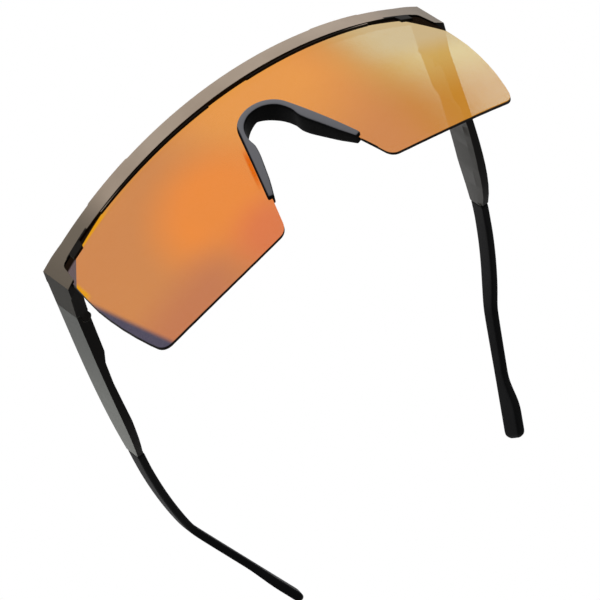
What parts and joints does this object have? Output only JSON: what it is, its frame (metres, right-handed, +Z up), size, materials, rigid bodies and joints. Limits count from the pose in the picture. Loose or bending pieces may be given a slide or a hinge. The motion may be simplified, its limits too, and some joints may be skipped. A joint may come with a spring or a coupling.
{
  "type": "cycling sunglasses",
  "caption": "Half-rim wraparound sport sunglasses: mirrored one-piece shield lens under a bowed brow, rubber nose piece, folding temples with curved rubber ear tips.",
  "frame": {"origin": "on the resting surface, below the middle of the bounding box", "axes": "+X to the wearer's left, +Y from the lens back to the ear tips, +Z up; the glasses stand open on the lens's lower edge, near its two inner corners, and on the two ear tips"},
  "size_m": [0.14, 0.1632, 0.0577],
  "materials": {
    "brow_bronze": "satin bronze paint on moulded nylon",
    "lens_orange": "orange mirror coating on a tinted clear shield",
    "soft_rubber": "soft matte black rubber",
    "temple_graphite": "satin graphite grey paint on moulded nylon",
    "steel_wire": "drawn steel wire, inside the rubber tip",
    "steel_screw": "plain steel screw",
    "brass_insert": "plain brass"
  },
  "bodies": {
    "front": {"brow_frame": "brow_bronze", "lens": "lens_orange", "nose_piece": "soft_rubber", "left_hinge_screw": "steel_screw", "right_hinge_screw": "steel_screw", "left_hinge_insert": "brass_insert", "right_hinge_insert": "brass_insert"},
    "left_temple": {"left_temple_arm": "temple_graphite", "left_temple_core": "steel_wire", "left_temple_tip": "soft_rubber"},
    "right_temple": {"right_temple_arm": "temple_graphite", "right_temple_core": "steel_wire", "right_temple_tip": "soft_rubber"}
  },
  "joints": [
    {"name": "left_temple_fold", "type": "hinge", "parent": "front", "child": "left_temple", "pos_m": [0.0671, -0.04324, 0.04656], "axis": [0, 0.2242, 0.9746], "range_deg": [0, 84]},
    {"name": "right_temple_fold", "type": "hinge", "parent": "front", "child": "right_temple", "pos_m": [-0.0671, -0.04324, 0.04656], "axis": [0, -0.2242, -0.9746], "range_deg": [0, 76]}
  ]
}
